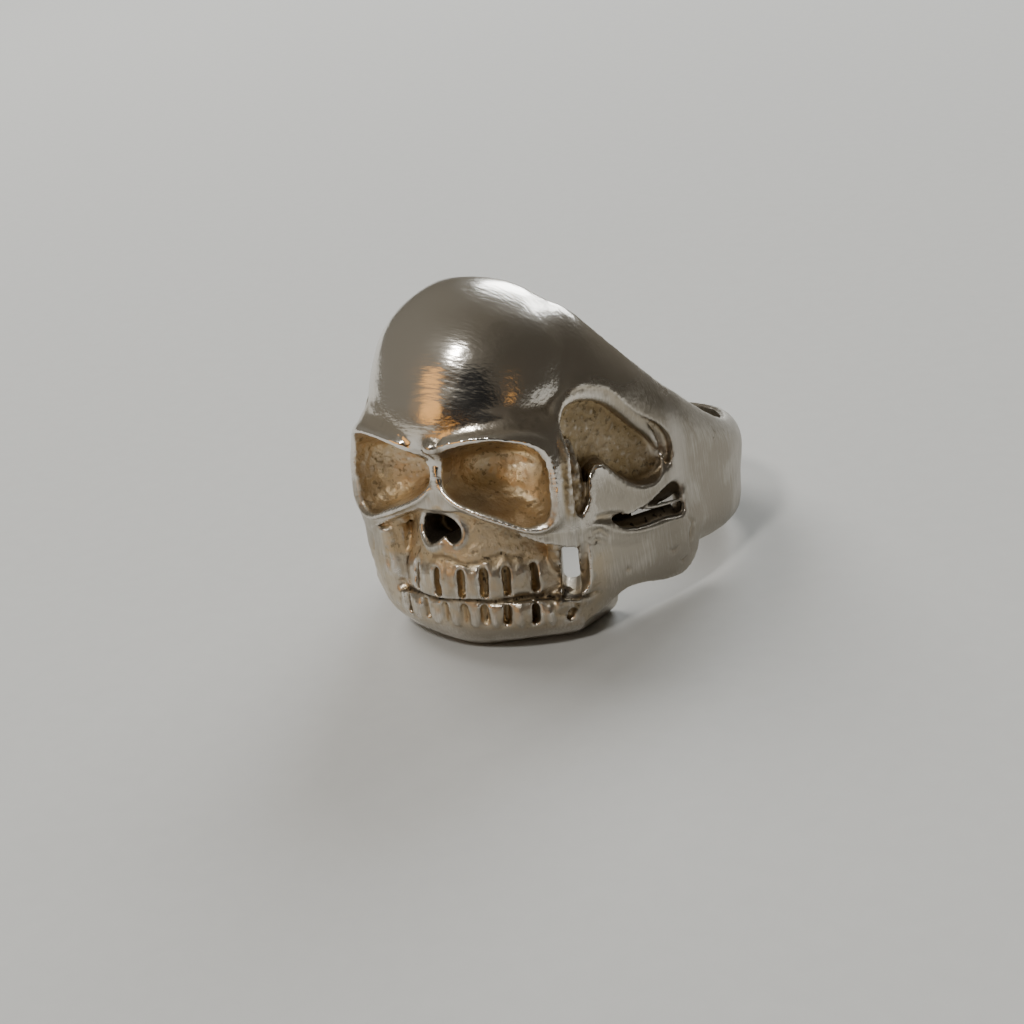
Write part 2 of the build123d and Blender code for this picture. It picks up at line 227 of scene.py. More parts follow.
# Jaw plate's top edge: angle, z, half thickness.
PLATE_EDGE = [
    (31.5, 0, 0.1), (33.2, 0.35, 0.15), (36.2, 0.2, 0.15), (39.3, -0.4, 0.13), (44.1, -0.85, 0.13),
    (49.5, -1, 0.13), (55.6, -0.95, 0.13), (61.3, -0.85, 0.12), (65.4, -0.95, 0.1),
]
PLATE_SUNK = 0.04
# Bar across the slit, fillings in it, furrow of its upper end: angle, z, radius, half thickness.
SLIT_BAR = [
    (46, 0.6, 12.9, 0.1), (50, 0.35, 12.6, 0.17), (55, 0.2, 12.25, 0.17), (60, 0.15, 11.95, 0.15),
    (66, 0.15, 11.7, 0.12),
]
SLIT_FILL = [
    (41, -0.5, 12.6, 0.3), (46, -0.6, 12.3, 0.42), (52, -0.55, 11.9, 0.45), (58, -0.5, 11.6, 0.42),
    (63, -0.4, 11.4, 0.3),
]
SLIT_FILL_UPPER = [
    (48, 0.35, 11.6, 0.3), (52, 0.5, 11.4, 0.5), (57, 0.65, 11.2, 0.6), (62, 0.8, 11.1, 0.6),
    (67, 1, 10.95, 0.45),
]
SLIT_LOBE = [
    (56.5, 0.75, 12.35, 0.1), (60, 0.95, 12.1, 0.3), (63.5, 1.05, 12, 0.38), (65.5, 1.5, 11.95, 0.12),
]
# Seam behind the jaw plate, and furrows and a pit on it: angle, z, half thickness.
PLATE_SEAM = [(66, -0.9, 0.08), (69, -1.5, 0.14), (68, -2.1, 0.16), (67.2, -2.7, 0.1), (68.4, -3.4, 0.06)]
PLATE_CURLS = [
    [(34.4, 0.7, 0.1), (36.4, 0.6, 0.2), (38.8, 0.5, 0.26), (42, 0.3, 0.28), (45, 0.1, 0.2)],
    [(43.7, -3.3, 0.14), (43.9, -3.35, 0.14)],
    [(33.5, -0.3, 0.06), (36, -0.15, 0.13), (38.6, -0.75, 0.07)],
    [(32.6, -0.9, 0.06), (35, -0.75, 0.11), (37.8, -1.15, 0.05)],
    [(57.5, -2.8, 0.05), (60.5, -2.95, 0.13), (62.5, -2.7, 0.05)],
    [(62.5, -3.7, 0.05), (65, -3.85, 0.13), (67, -3.5, 0.05)],
    [(65.5, -2.9, 0.03), (67, -3.05, 0.07), (68.5, -2.9, 0.03)],
]

# Vertices closer than this are merged, in the solid's copy and in a bar.
SOLID_MERGE = 0.003
BAR_MERGE = 0.001
# A bar: order of its curve, steps between its points, steps in a quarter of its round.
BAR = (3, 5, 3)
# Shares of its half thickness within which a furrow is deepest and at which it ends.
FURROW_SIDES = (0.3, 1.7)
# Steps of the weights in a vertex group.
WEIGHT_STEPS = 20
# Steps of smoothing for each vertex group.
SMOOTH_STEPS = {"right_side": 140, "polished": 50, "crown": 120, "all": 3, "ledge": 30}
# Steps of smoothing that take off fine forms, and then broad ones.
FINE_STEPS = 12
BROAD_STEPS = 120
# Grain of the surface: vertex group, cell size, strength in pit depths.
GRAINS = {"lumps": ("hollows", 1.1, 2), "pits": ("hollows", 0.34, 2.4), "worn_teeth": ("teeth", 0.75, 2.2)}
# Soft swell of the whole casting: cell size and strength.
SWELL_CELL = 2.6
SWELL = 0.09

# Where zones of the surface begin and where they are full, in millimetres, or in degrees where
# the name has turn. In and out are measured from an outline, off from a line, high and low from
# the origin, and front from the finger's middle.
FADES = dict(
    brow_foot_high=(4.7, 5.9), brow_side=(5.2, 7.6), brow_front=(11, 13), right_start_turn=(-16.5, -18.5),
    right_end_turn=(-34, -38), right_top=(-0.4, -1), right_foot=(-7.4, -6.6), crown_high=(11, 13),
    socket_in=(-0.05, 0.2), socket_rim_out=(0.3, 0.6), socket_rim_end=(1.6, 2.4), temple_in=(-0.1, 0.2),
    temple_near=(-0.9, -0.2), temple_lip=(-0.5, 0), ledge_off=(0.45, 0.75), dome_high=(7.7, 8.8),
    dome_front=(4, 8), shoulder_high=(8.6, 9.6), band_turn=(58, 66), side_low=(-1.6, -0.6),
    side_end_turn=(72, 78), slit_in=(-0.1, 0.15), slit_sunk=(0.08, 0.3), gum_high=(-2.2, -1.6),
    under_bar=(0.05, 0.3), gum_front=(11.5, 12.5), nose_out=(0.62, 0.45), nose_in=(-0.05, 0.2),
    gum_end_turn=(18, 21), bite_off=(0.1, 0.18), bite_start_turn=(BITE_START - 2, BITE_START + 2),
    bite_end_turn=(BITE_END - 4, BITE_END), space_off_turn=(0.9, 1.8), gum_line_off=(0.07, 0.2),
    chin_low=(6.2, 7), chin_front=(9.5, 12), teeth_low=(1.2, 2), teeth_end_low=(5.9, 6.5),
    teeth_front=(10.5, 12), valley_high=(6.2, 7), valley_end_high=(7.6, 8.8), valley_front=(11, 13),
    recess=(0.06, 0.35), deep_recess=(0.35, 0.8), crack=(0.01, 0.07), deep_crack=(0.06, 0.14),
    edge=(0, 0.05), rubbed_edge=(0.01, 0.06), proud=(0.15, 0.5), shank_turn=(40, 62),
    shank_end_high=(4, 8), bright_end_turn=(60, 70), face_high=(1.5, 4), face_front=(10, 12.5),
)
# Bounds of zones: front and back of the sockets, back of the face and of the forehead, foot of
# the cheeks, the gum's half width, radii round the finger.
SOCKET_Y = (-16.7, -11)
FACE_Y = -12
FOREHEAD_Y = -14
CHEEK_Z = 0.2
GUM_SIDE = 6.6
SLIT_RADIUS = 10.5
HOLE_RADIUS = 10.6
# Where the boss's dull patch ends, as a share of its half size.
BOSS_PATCH = 1.6
# How far the sockets' rims are polished, the ledge is free of pits and of shade, the gum is
# pitted, and the finger hole is free of tarnish.
RIM_POLISH = 0.4
LEDGE_PITS = 0.7
LEDGE_SHADE = 0.85
GUM_PITS = 0.8
BORE_CLEAN = 0.8
# How much each zone adds to a layer; the layers hold wear, tarnish and dirt, and also painted shade and
# painted light.
# Tarnish: the valley's share is painted shade on the brow and the foot of the dome, and the chin's negative
# share paints the chin lighter.
TARNISH_AND_SHADE_SHARES = dict(
    hollow=0.9, valley=0.3, teeth=0.4, gum_line=0.5, chin=-0.3, spaces=0.7, recess=0.7, crack=0.5,
    edge=-0.8,
)
# Near-black: painted shade in the nose opening, the slit, the bite, the gum line, deep recesses and cracks,
# and on the shank's side; dirt in the tooth spaces.
SOOT_AND_SHADE_SHARES = dict(
    nose=1, slit=0.55, deep_recess=0.7, deep_crack=0.6, bite=0.8, spaces=0.45, shank=0.27, gum_line=0.45,
)
# Lighter colour: rubbed wear on edges and proud parts, and painted light on the chin.
RUB_AND_LIT_CHIN_SHARES = dict(rubbed_edge=1, proud=0.5, chin=0.5)
DUST_SHARES = dict(slit=1, hollow=0.4)

# Noises of the silver, in the order in which it reads them: scale, detail, stretch.
CLOUDS = {
    "cloud": (420, 3), "spots": (2600, 2), "grit": (7000, 2), "wide": (160, 2),
    "brushed": (1, 2, (9000, 9000, 260)), "scuffs": (1, 1, (900, 5200, 4200)),
}
# Relief of the noises: strength, and height in metres.
BUMP_STRENGTH = 0.8
BUMP_HEIGHT = 0.00004
# Floor: scale and detail of its grain, how dark that gets, and the roughness.
PAPER_GRAIN = (700, 3)
PAPER_DARK = 0.94
PAPER_ROUGH = 0.9

# Lamps: azimuth, elevation, distance m, size m, power W, colour.
LAMPS = {
    "key": (0, 50, 0.6, 0.09, 1.3, (1, 0.98, 0.94)),
    "window": (-170, 32, 0.9, 0.42, 5, (0.94, 0.98, 1)),
    "window_right": (165, 33, 0.9, 0.16, 0.7, (0.94, 0.98, 1)),
    "soft": (-110, 47, 0.62, 0.4, 2.6, (1, 0.98, 0.95)),
    "warm_left": (-22, 19, 0.5, 0.24, 0.17, (1, 0.47, 0.09)),
    "warm_low": (4, 4, 0.5, 0.12, 0.035, (1, 0.47, 0.09)),
    "warm_right": (60, 14, 0.5, 0.09, 0.016, (1, 0.47, 0.09)),
}
# The lamp that isn't mirrored, and the first word of those that are only mirrored.
FLOOR_ONLY = "soft"
MIRRORED_ONLY = "warm"
# The room's light and patches in it: azimuth and elevation of the middle, cosines of the angle
# from it where the patch begins and is full, colour.
ROOM = (0.14, 0.126, 0.102)
ROOM_PATCHES = [
    (-75, 20, 0.2, 0.95, (0.22, 0.205, 0.175)),
    (95, 15, 0.3, 0.95, (0.07, 0.062, 0.05)),
    (22, 4, 0.8, 0.9, (0.012, 0.013, 0.014)),
]
# Side of the floor and middle of the ring, in metres.
FLOOR_SIZE = 6.0
RING_MIDDLE = Vector((0, 0, 0.011))
# The camera in the ring's own frame: azimuth, elevation and roll in degrees, shift of its aim
# and distance in millimetres, lens in millimetres, and how near it sees in metres.
CAMERA_TURN = (32, 14.8, -4.2)
CAMERA_PLACE = (-4.1, -2.7, 130)
CAMERA_LENS = 66.55078125
CAMERA_CLIP = 0.005


def colour(name, description, default):
    """A colour among the sizes."""
    return FloatVectorProperty(
        name=name, description=description, default=default, subtype="COLOR", min=0, max=1,
    )


class RingSizes(bpy.types.PropertyGroup):
    """Sizes and colours of the modelled casting, lengths in millimetres"""

    voxel: FloatProperty(name="Clay grain", description="Cell size when fused", default=0.13, min=0.05)
    faces: IntProperty(name="Triangles", description="Most triangles in the casting", default=196000)
    tooth_rise: FloatProperty(name="Tooth rise", description="How far a tooth stands out", default=0.17)
    pit_depth: FloatProperty(name="Pit depth", description="Depth of the pits in the hollows", default=0.05)
    silver: colour("Silver", "Polished metal", (0.82, 0.78, 0.715))
    dulled: colour("Dulled silver", "Unpolished metal", (0.43, 0.39, 0.325))
    # Brown for tarnish, also used as painted shade on the brow and the foot of the dome.
    tarnish_and_shade: colour("Tarnish", "Brown film in the hollows", (0.6, 0.48, 0.31))
    umber: colour("Umber", "Darker film in the temples", (0.3, 0.22, 0.115))
    # Near-black, for painted shade in the deepest places and for dark specks and dirt.
    soot_and_shade: colour("Soot", "Black of the deepest places", (0.03, 0.022, 0.014))
    paper: colour("Paper", "Floor under the ring", (0.6, 0.6, 0.585))


def deselect_all():
    """Leave edit mode with nothing selected."""
    if bpy.context.object and bpy.context.object.mode != "OBJECT":
        bpy.ops.object.mode_set(mode="OBJECT")
    bpy.ops.object.select_all(action="DESELECT")


def pick(*objects):
    """Select these objects, the first of them active."""
    deselect_all()
    for obj in objects:
        obj.select_set(True)
    bpy.context.view_layer.objects.active = objects[0]


def join(first, others):
    """Join the others to the first object."""
    pick(first, *others)
    bpy.ops.object.join()
    return first


def copied(obj):
    """A copy of an object with its own mesh."""
    twin = obj.copy()
    twin.data = obj.data.copy()
    bpy.context.scene.collection.objects.link(twin)
    return twin


def edit_whole(obj, operator, **settings):
    """Run an operator of edit mode on the whole of a mesh."""
    pick(obj)
    bpy.ops.object.mode_set(mode="EDIT")
    bpy.ops.mesh.select_all(action="SELECT")
    operator(**settings)
    bpy.ops.object.mode_set(mode="OBJECT")


def apply_modifier(obj, kind, **settings):
    """Add a modifier, set it and apply it."""
    pick(obj)
    mod = obj.modifiers.new(kind.title(), kind)
    for key, value in settings.items():
        setattr(mod, key, value)
    bpy.ops.object.modifier_apply(modifier=mod.name)


def read_rows(obj, layer, name):
    """A vertex layer of the mesh as an array of three columns."""
    flat = np.zeros(len(obj.data.vertices) * 3, np.float32)
    layer.foreach_get(name, flat)
    return flat.reshape(-1, 3).astype(float)


def read_points(obj):
    """The places of the vertices."""
    return read_rows(obj, obj.data.vertices, "co")


def read_normals(obj):
    """The ways that the vertices face."""
    return read_rows(obj, obj.data.vertex_normals, "vector")


def write_points(obj, points):
    """Move the vertices to these places."""
    obj.data.vertices.foreach_set("co", points.astype(np.float32).ravel())
    obj.data.update()


def weight_group(obj, name, weights):
    """Add a vertex group with these weights, rounded to a few steps."""
    group = obj.vertex_groups.new(name=name)
    steps = np.round(np.clip(weights, 0, 1) * WEIGHT_STEPS).astype(int)
    for step in range(1, WEIGHT_STEPS + 1):
        rows = np.nonzero(steps == step)[0]
        if len(rows):
            group.add(rows.tolist(), step / WEIGHT_STEPS, "REPLACE")


def smooth(obj, steps, group=""):
    """Smooth a mesh, or the part of it in a vertex group."""
    apply_modifier(obj, "SMOOTH", iterations=steps, vertex_group=group)


def ramp(values, low, high):
    """Smooth step from 0 at low to 1 at high."""
    share = np.clip((values - low) / (high - low), 0, 1)
    return share * share * (3 - 2 * share)


def fade(name, values):
    """Smooth step from 0 to 1 over a stretch of the table of fades."""
    return ramp(values, *FADES[name])


def depth_inside(edge, across, up):
    """How far points lie inside a closed outline, negative outside it."""
    nearest = np.full(len(across), np.inf)
    crossings = np.zeros(len(across), int)
    for (x1, y1), (x2, y2) in zip(edge, edge[1:] + edge[:1]):
        dx, dy = x2 - x1, y2 - y1
        share = np.clip(((across - x1) * dx + (up - y1) * dy) / (dx * dx + dy * dy), 0, 1)
        nearest = np.minimum(nearest, np.hypot(across - x1 - share * dx, up - y1 - share * dy))
        if dy:
            spans = (y1 > up) != (y2 > up)
            crossings += spans & (across < x1 + (up - y1) * dx / dy)
    return np.where(crossings % 2 == 1, nearest, -nearest)


def distance_to(points, rows):
    """How far points lie from a bar's middle line, and the bar's half thickness there."""
    nearest = np.full(len(points), np.inf)
    half = np.zeros(len(points))
    for (start, wide), (end, narrow) in zip(rows, rows[1:]):
        start, way = np.array(start), np.array(end) - np.array(start)
        share = np.clip((points - start) @ way / (way @ way), 0, 1)
        away = np.linalg.norm(points - start - share[:, None] * way, axis=1)
        half = np.where(away < nearest, wide + share * (narrow - wide), half)
        nearest = np.minimum(nearest, away)
    return nearest, half


def rounded(edge, steps=4):
    """A closed outline with its corners rounded by a spline through the points."""
    count = len(edge)
    points = []
    for i in range(count):
        p0, p1, p2, p3 = (Vector(edge[(i + k) % count]) for k in (-1, 0, 1, 2))
        for j in range(steps):
            t = j / steps
            points.append(tuple(
                0.5 * (2 * p1 + (p2 - p0) * t + (2 * p0 - 5 * p1 + 4 * p2 - p3) * t * t
                       + (3 * p1 - p0 - 3 * p2 + p3) * t ** 3)
            ))
    return points


class Feeler:
    """Finds places on the casting's surface, as a fingertip would."""

    def __init__(self, obj):
        self.tree = BVHTree.FromObject(obj, bpy.context.evaluated_depsgraph_get())

    def cast(self, start, way, sunk):
        """The first place that a ray meets, sunk below the surface."""
        place, normal, _, _ = self.tree.ray_cast(Vector(start), Vector(way).normalized())
        if place is None:
            raise RuntimeError(f"No surface at {start}")
        return place - normal * sunk

    def face(self, x, z, sunk=0.0):
        """The place seen straight on from in front."""
        return self.cast((x, -FAR, z), (0, 1, 0), sunk)

    def side(self, angle, z, sunk=0.0):
        """The place seen towards the finger at an angle from the nose."""
        out = outward(angle)
        return self.cast(out * FAR + Vector((0, 0, z)), -out, sunk)

    def arch(self, angle, z):
        """The place seen towards the middle of the dental arch."""
        out = outward(angle)
        return self.cast(out * FAR + arch_middle(z), -out, 0.0)


def polar(angle, z, radius):
    """A place round the finger."""
    turn = math.radians(angle)
    return Vector((radius * math.sin(turn), -radius * math.cos(turn), z))


def polar_rows(rows, side=1):
    """Places and half thicknesses from rows of angle, z, radius and half thickness."""
    return [(polar(side * a, z, r), half) for a, z, r, half in rows]


def outward(angle):
    """The level way at an angle from the nose."""
    return polar(angle, 0, 1)


def arch_middle(z):
    """The middle of the dental arch at a height."""
    return Vector((0, ARCH_Y, z))


def bite_height(angle):
    """The height of the bite at an angle round the dental arch."""
    return BITE_Z + BITE_WAVE * np.sin(np.radians(angle * BITE_WAVES))


def bar(rows, closed=False):
    """A round bar through rows of a place and a half thickness."""
    deselect_all()
    bpy.ops.curve.primitive_nurbs_path_add()
    curve = bpy.context.object.data
    curve.splines.clear()
    line = curve.splines.new("NURBS")
    line.points.add(len(rows) - 1)
    for point, (place, half) in zip(line.points, rows):
        point.co = (*place, 1)
        point.radius = half
    line.use_cyclic_u = closed
    line.use_endpoint_u = not closed
    line.order_u, line.resolution_u, curve.bevel_resolution = BAR
    curve.bevel_depth = 1
    curve.use_fill_caps = True
    bpy.ops.object.convert(target="MESH")
    made = bpy.context.object
    edit_whole(made, bpy.ops.mesh.remove_doubles, threshold=BAR_MERGE)
    return made


def both_sides(obj):
    """The form and its mirrored copy on the other side of the face."""
    twin = copied(obj)
    twin.data.transform(Matrix.Scale(-1, 4, (1, 0, 0)))
    edit_whole(twin, bpy.ops.mesh.normals_make_consistent, inside=False)
    return [obj, twin]


def press(points, normals, rows):
    """Press a furrow along rows of a place and a half thickness, as a burnisher would."""
    nearest, half = distance_to(points, rows)
    depth = half * (1 - ramp(nearest / half, *FURROW_SIDES))
    points -= normals * depth[:, None]


def model_block():
    """A soft block to make teeth from: a cube with its front drawn out and rounded."""
    deselect_all()
    bpy.ops.mesh.primitive_cube_add(size=2)
    block = bpy.context.object
    bpy.ops.object.mode_set(mode="EDIT")
    bpy.ops.mesh.select_all(action="DESELECT")
    form = bmesh.from_edit_mesh(block.data)
    for face in form.faces:
        face.select_set(round(face.normal.y) == -1)
    bmesh.update_edit_mesh(block.data)
    bpy.ops.mesh.inset(thickness=BLOCK_INSET, depth=BLOCK_DRAW)
    bpy.ops.object.mode_set(mode="OBJECT")
    apply_modifier(block, "SUBSURF", levels=2, render_levels=2)
    return block


def placed_copy(obj, place, out, halves):
    """A copy of a form at a place, facing out, with half sizes across, deep and high."""
    copy = copied(obj)
    side = Vector((0, 0, 1)).cross(out).normalized()
    turn = Matrix((side, -out, side.cross(-out))).transposed().to_4x4()
    copy.data.transform(Matrix.Translation(place) @ turn @ Matrix.Diagonal((*halves, 1)))
    return copy


class OBJECT_OT_ring_casting(bpy.types.Operator):
    """Start the casting from a merged copy of the solid"""

    bl_idname = "object.ring_casting"
    bl_label = "Casting"

    def execute(self, context):
        node = frame["nodes"][NODE]
        casting = bpy.data.objects.new(CASTING, node.data.copy())
        context.scene.collection.objects.link(casting)
        casting.data.materials.clear()
        casting.data.transform(TO_RING)
        edit_whole(casting, bpy.ops.mesh.remove_doubles, threshold=SOLID_MERGE)
        return {"FINISHED"}


class OBJECT_OT_ring_eyes(bpy.types.Operator):
    """Raise the edges of the eye sockets, the brow and the bridge of the nose"""

    bl_idname = "object.ring_eyes"
    bl_label = "Eye edges and brow"

    def execute(self, context):
        casting = bpy.data.objects[CASTING]
        feel = Feeler(casting)
        pieces = []
        crest = [(feel.face(x, z, CREST_SUNK), half) for x, z, half in SOCKET_CREST]
        pieces += both_sides(bar(crest, closed=True))
        for rows in (BROW, NOSE_BRIDGE):
            pieces += both_sides(bar([(feel.face(x, z, sunk), half) for x, z, half, sunk in rows]))
        ridge = [(feel.face(x, z, sunk), half) for x, z, half, sunk in NASAL_RIDGE]
        pieces.append(bar(ridge))
        outside, half, sunk, steps = NOSE_RIM
        nose = []
        for x, z in rounded(NOSE_EDGE, steps):
            out = (Vector((x, z)) - Vector(NOSE_MIDDLE)).normalized() * outside
            nose.append((feel.face(x + out.x, z + out.y, sunk), half))
        pieces.append(bar(nose, closed=True))
        block = model_block()
        x, z, half = BOSS
        facing = Vector(BOSS_FACING).normalized()
        pieces.append(placed_copy(block, feel.face(x, z), facing, (half, half, half)))
        bpy.data.objects.remove(block)
        join(casting, pieces)
        return {"FINISHED"}


class OBJECT_OT_ring_teeth(bpy.types.Operator):
    """Round each tooth between its spaces and raise the gum round the upper spaces"""

    bl_idname = "object.ring_teeth"
    bl_label = "Teeth"

    def execute(self, context):
        casting = bpy.data.objects[CASTING]
        rise = context.scene.ring_sizes.tooth_rise
        feel = Feeler(casting)
        block = model_block()
        pieces = []
        radius, clear, deep, uneven, turning = TOOTH
        for spaces, level, tall, more in TOOTH_ROWS:
            for index, (start, end) in enumerate(zip(spaces, spaces[1:])):
                angle = (start + end) / 2
                half = math.radians(end - start) / 2 * radius - clear
                wobble = uneven * math.sin(index * turning + level)
                out = outward(angle)
                place = feel.arch(angle, level + wobble) + out * (rise + more - deep)
                pieces.append(placed_copy(block, place, out, (half, deep, tall + wobble)))
        for angle, z, reach, half in MOLAR_LUMPS:
            out = outward(angle)
            halves = (half, half, half * LUMP_TALL)
            pieces.append(placed_copy(block, arch_middle(z) + out * reach, out, halves))
        bpy.data.objects.remove(block)
        height, uneven, turning = GUM_TOP
        for index, angle in enumerate(UPPER_SPACES[:-1]):
            top = height + uneven * math.sin(index * turning)
            pieces.append(bar(self.gum_loop(feel, angle, top)))
        join(casting, pieces)
        return {"FINISHED"}

    @staticmethod
    def gum_loop(feel, angle, top):
        """Rows of a bar over the top of a space, level with the teeth beside it."""
        wide, high, drop, radius = GUM_LOOP
        first, whole, steps = GUM_SWEEP
        rows = []
        for step in range(steps + 1):
            turn = math.radians(first + whole * step / steps)
            across = wide * math.cos(turn) / radius
            z = top - drop + high * math.sin(turn)
            here = angle + math.degrees(across)
            beside = angle + GUM_ASIDE * math.copysign(1, across)
            reach = max((feel.arch(place, z) - arch_middle(z)).length for place in (here, beside))
            half = GUM_HALF[step not in (0, steps)]
            rows.append((arch_middle(z) + outward(here) * (reach + GUM_PROUD), half))
        return rows


class OBJECT_OT_ring_temples(bpy.types.Operator):
    """Lay the ledge, the tongue and the sill of each temple hollow"""

    bl_idname = "object.ring_temples"
    bl_label = "Temple hollows"

    def execute(self, context):
        casting = bpy.data.objects[CASTING]
        feel = Feeler(casting)
        pieces = []
        for rows in (TEMPLE_LEDGE, TEMPLE_TONGUE):
            pieces += both_sides(bar(polar_rows(rows)))
        sill = [(feel.side(a, z - SILL_DROP, SILL_SUNK), half) for a, z, half in TEMPLE_SILL]
        pieces += both_sides(bar(sill))
        join(casting, pieces)
        return {"FINISHED"}


class OBJECT_OT_ring_jaw(bpy.types.Operator):
    """Edge the jaw plates, narrow the slits above them and fill the right cheek"""

    bl_idname = "object.ring_jaw"
    bl_label = "Jaw plates"

    def execute(self, context):
        casting = bpy.data.objects[CASTING]
        feel = Feeler(casting)
        edge = [(feel.side(a, z, PLATE_SUNK), half) for a, z, half in PLATE_EDGE]
        pieces = both_sides(bar(edge))
        for rows in (SLIT_BAR, SLIT_FILL, SLIT_FILL_UPPER):
            pieces += both_sides(bar(polar_rows(rows)))
        for rows in RIGHT_CHEEK:
            pieces.append(bar([((x, y, z), half) for x, y, z, half in rows]))
        join(casting, pieces)
        return {"FINISHED"}


class OBJECT_OT_ring_fuse(bpy.types.Operator):
    """Fuse the forms into one skin and cut the furrows"""

    bl_idname = "object.ring_fuse"
    bl_label = "Fuse and cut"

    def execute(self, context):
        sizes = context.scene.ring_sizes
        casting = bpy.data.objects[CASTING]
        apply_modifier(casting, "REMESH", mode="VOXEL", voxel_size=sizes.voxel)
        feel = Feeler(casting)
        furrows = [[(feel.arch(a, z), half) for a, z, half in GUM_FURROW]]
        angles = range(BITE_START, BITE_END + 1, BITE_STEP)
        furrows.append([(feel.arch(a, bite_height(a)), BITE_HALF) for a in angles])
        angle, z, ring, half, radius, between, count = MOLAR_RING
        molar = []
        for step in range(count):
            turn = math.radians(between * step)
            across = math.degrees(ring * math.cos(turn) / radius)
            molar.append((feel.arch(angle + across, z + ring * math.sin(turn)), half))
        furrows.append(molar)
        for side in (1, -1):
            for rows in (PLATE_SEAM, *PLATE_CURLS):
                furrows.append([(feel.side(side * a, z), half) for a, z, half in rows])
            furrows.append(polar_rows(SLIT_LOBE, side))
        points = read_points(casting)
        normals = read_normals(casting)
        for rows in furrows:
            press(points, normals, rows)
        write_points(casting, points)
        return {"FINISHED"}


class OBJECT_OT_ring_finish(bpy.types.Operator):
    """Smooth the polished parts, pit the hollows and lay the metal on"""

    bl_idname = "object.ring_finish"
    bl_label = "Finish"

    def execute(self, context):
        sizes = context.scene.ring_sizes
        casting = bpy.data.objects[CASTING]
        self.raise_brow(casting)
        self.mark_zones(casting)
        self.smooth_right_side(casting)
        self.smooth_polished(casting)
        self.press_grain(casting, sizes.pit_depth)
        count = sum(len(face.vertices) - 2 for face in casting.data.polygons)
        if count > sizes.faces:
            apply_modifier(casting, "DECIMATE", ratio=sizes.faces / count, use_collapse_triangulate=True)
        store_wear_and_painted_light(casting)
        pick(casting)
        bpy.ops.object.shade_smooth()
        casting.data.transform(TO_ROW)
        points = read_points(casting)
        points[:, 2] = np.maximum(points[:, 2], 0.0)
        write_points(casting, points)
        casting.vertex_groups.clear()
        casting.data.materials.append(worn_silver_with_painted_light(sizes))
        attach(casting, "root")
        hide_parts(NODE)
        return {"FINISHED"}

    @staticmethod
    def raise_brow(casting):
        """Push the brow forward, most at its foot."""
        points = read_points(casting)
        x, y, z = points.T
        full, none = BROW_TOP
        brow = np.clip((none - z) / (none - full), 0, 1) ** BROW_SWEEP * fade("brow_foot_high", z)
        brow *= (1 - fade("brow_side", np.abs(x))) * fade("brow_front", -y)
        points[:, 1] -= BROW_FORWARD * brow
        write_points(casting, points)

    @staticmethod
    def mark_zones(casting):
        """Add a vertex group for each part that is finished in its own way."""
        points = read_points(casting)
        x, y, z = points.T
        angle = np.degrees(np.arctan2(x, -y))
        side = fade("right_start_turn", angle) * (1 - fade("right_end_turn", angle)) * fade("right_top", z)
        weight_group(casting, "right_side", side * (fade("right_foot", z) * (np.hypot(x, y) > RIGHT_RADIUS)))
        zones = find_zones(points)
        for name in ("polished", "teeth", "hollows"):
            weight_group(casting, name, zones[name])

    @staticmethod
    def smooth_right_side(casting):
        """Smooth the skull's right cheek, then cut the last spaces there."""
        smooth(casting, SMOOTH_STEPS["right_side"], "right_side")
        points = read_points(casting)
        normals = read_normals(casting)
        feel = Feeler(casting)
        for rows in RIGHT_SPACES:
            press(points, normals, [(feel.arch(a, z), half) for a, z, half in rows])
        write_points(casting, points)

    @staticmethod
    def smooth_polished(casting):
        """Smooth the polished parts, the crown and the ledges in the temple hollows."""
        points = read_points(casting)
        weight_group(casting, "all", np.ones(len(points)))
        weight_group(casting, "crown", fade("crown_high", points[:, 2]))
        for name in ("polished", "crown", "all"):
            smooth(casting, SMOOTH_STEPS[name], name)
        weight_group(casting, "ledge", find_zones(read_points(casting))["ledge"])
        smooth(casting, SMOOTH_STEPS["ledge"], "ledge")

    @staticmethod
    def press_grain(casting, pit_depth):
        """Press lumps and pits into the hollows and teeth, and a soft swell over it all."""
        for name, (group, cell, strength) in GRAINS.items():
            grain = bpy.data.textures.new(name, "CLOUDS")
            grain.noise_scale = cell
            grain.noise_depth = 1
            apply_modifier(
                casting, "DISPLACE", texture=grain, strength=pit_depth * strength, vertex_group=group,
            )
        swell = bpy.data.textures.new("swell", "CLOUDS")
        swell.noise_scale = SWELL_CELL
        apply_modifier(casting, "DISPLACE", texture=swell, strength=SWELL)


